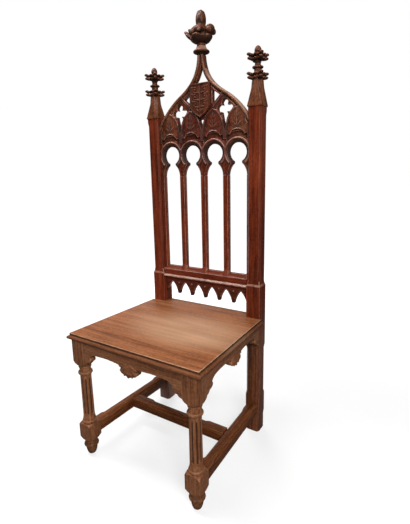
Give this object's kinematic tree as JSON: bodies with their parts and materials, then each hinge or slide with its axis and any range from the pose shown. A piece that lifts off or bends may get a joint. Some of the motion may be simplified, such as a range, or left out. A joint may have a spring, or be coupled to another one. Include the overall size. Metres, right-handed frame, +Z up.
{
  "type": "cathedral chair",
  "caption": "Tall Gothic-revival wooden side chair with a pierced tracery back, ogee arch, shield and finials, a flat moulded seat, fluted front legs and stretchers.",
  "frame": {"origin": "on the floor, under the centre of the chair's bounding box", "axes": "+Z up; the seat faces -Y; +X is to the right as seen from the front"},
  "size_m": [0.538, 0.52, 1.5323],
  "materials": {
    "seat_wood": "worn satin varnish",
    "frame_wood": "satin varnish",
    "back_wood": "satin varnish",
    "block_wood": "bare sawn wood"
  },
  "bodies": {
    "root": {"seat_board": "seat_wood", "front_leg_left": "frame_wood", "front_leg_right": "frame_wood", "rear_post_left": "back_wood", "rear_post_right": "back_wood", "front_apron": "frame_wood", "side_apron_left": "frame_wood", "side_apron_right": "frame_wood", "rear_apron": "frame_wood", "side_stretcher_left": "frame_wood", "side_stretcher_right": "frame_wood", "cross_stretcher": "frame_wood", "corner_block_front_left": "block_wood", "corner_block_front_right": "block_wood", "corner_block_rear_left": "block_wood", "corner_block_rear_right": "block_wood", "back_sill_rail": "back_wood", "sill_bead": "back_wood", "pendant_arcade": "back_wood", "mullion_left": "back_wood", "mullion_centre": "back_wood", "mullion_right": "back_wood", "half_mullion_left": "back_wood", "half_mullion_right": "back_wood", "ogee_limb_left": "back_wood", "ogee_limb_right": "back_wood", "tracery_head": "back_wood", "shield": "back_wood", "centre_finial": "back_wood", "pinnacle_left": "back_wood", "pinnacle_right": "back_wood", "pinnacle_finial_left": "back_wood", "pinnacle_finial_right": "back_wood"}
  },
  "joints": []
}
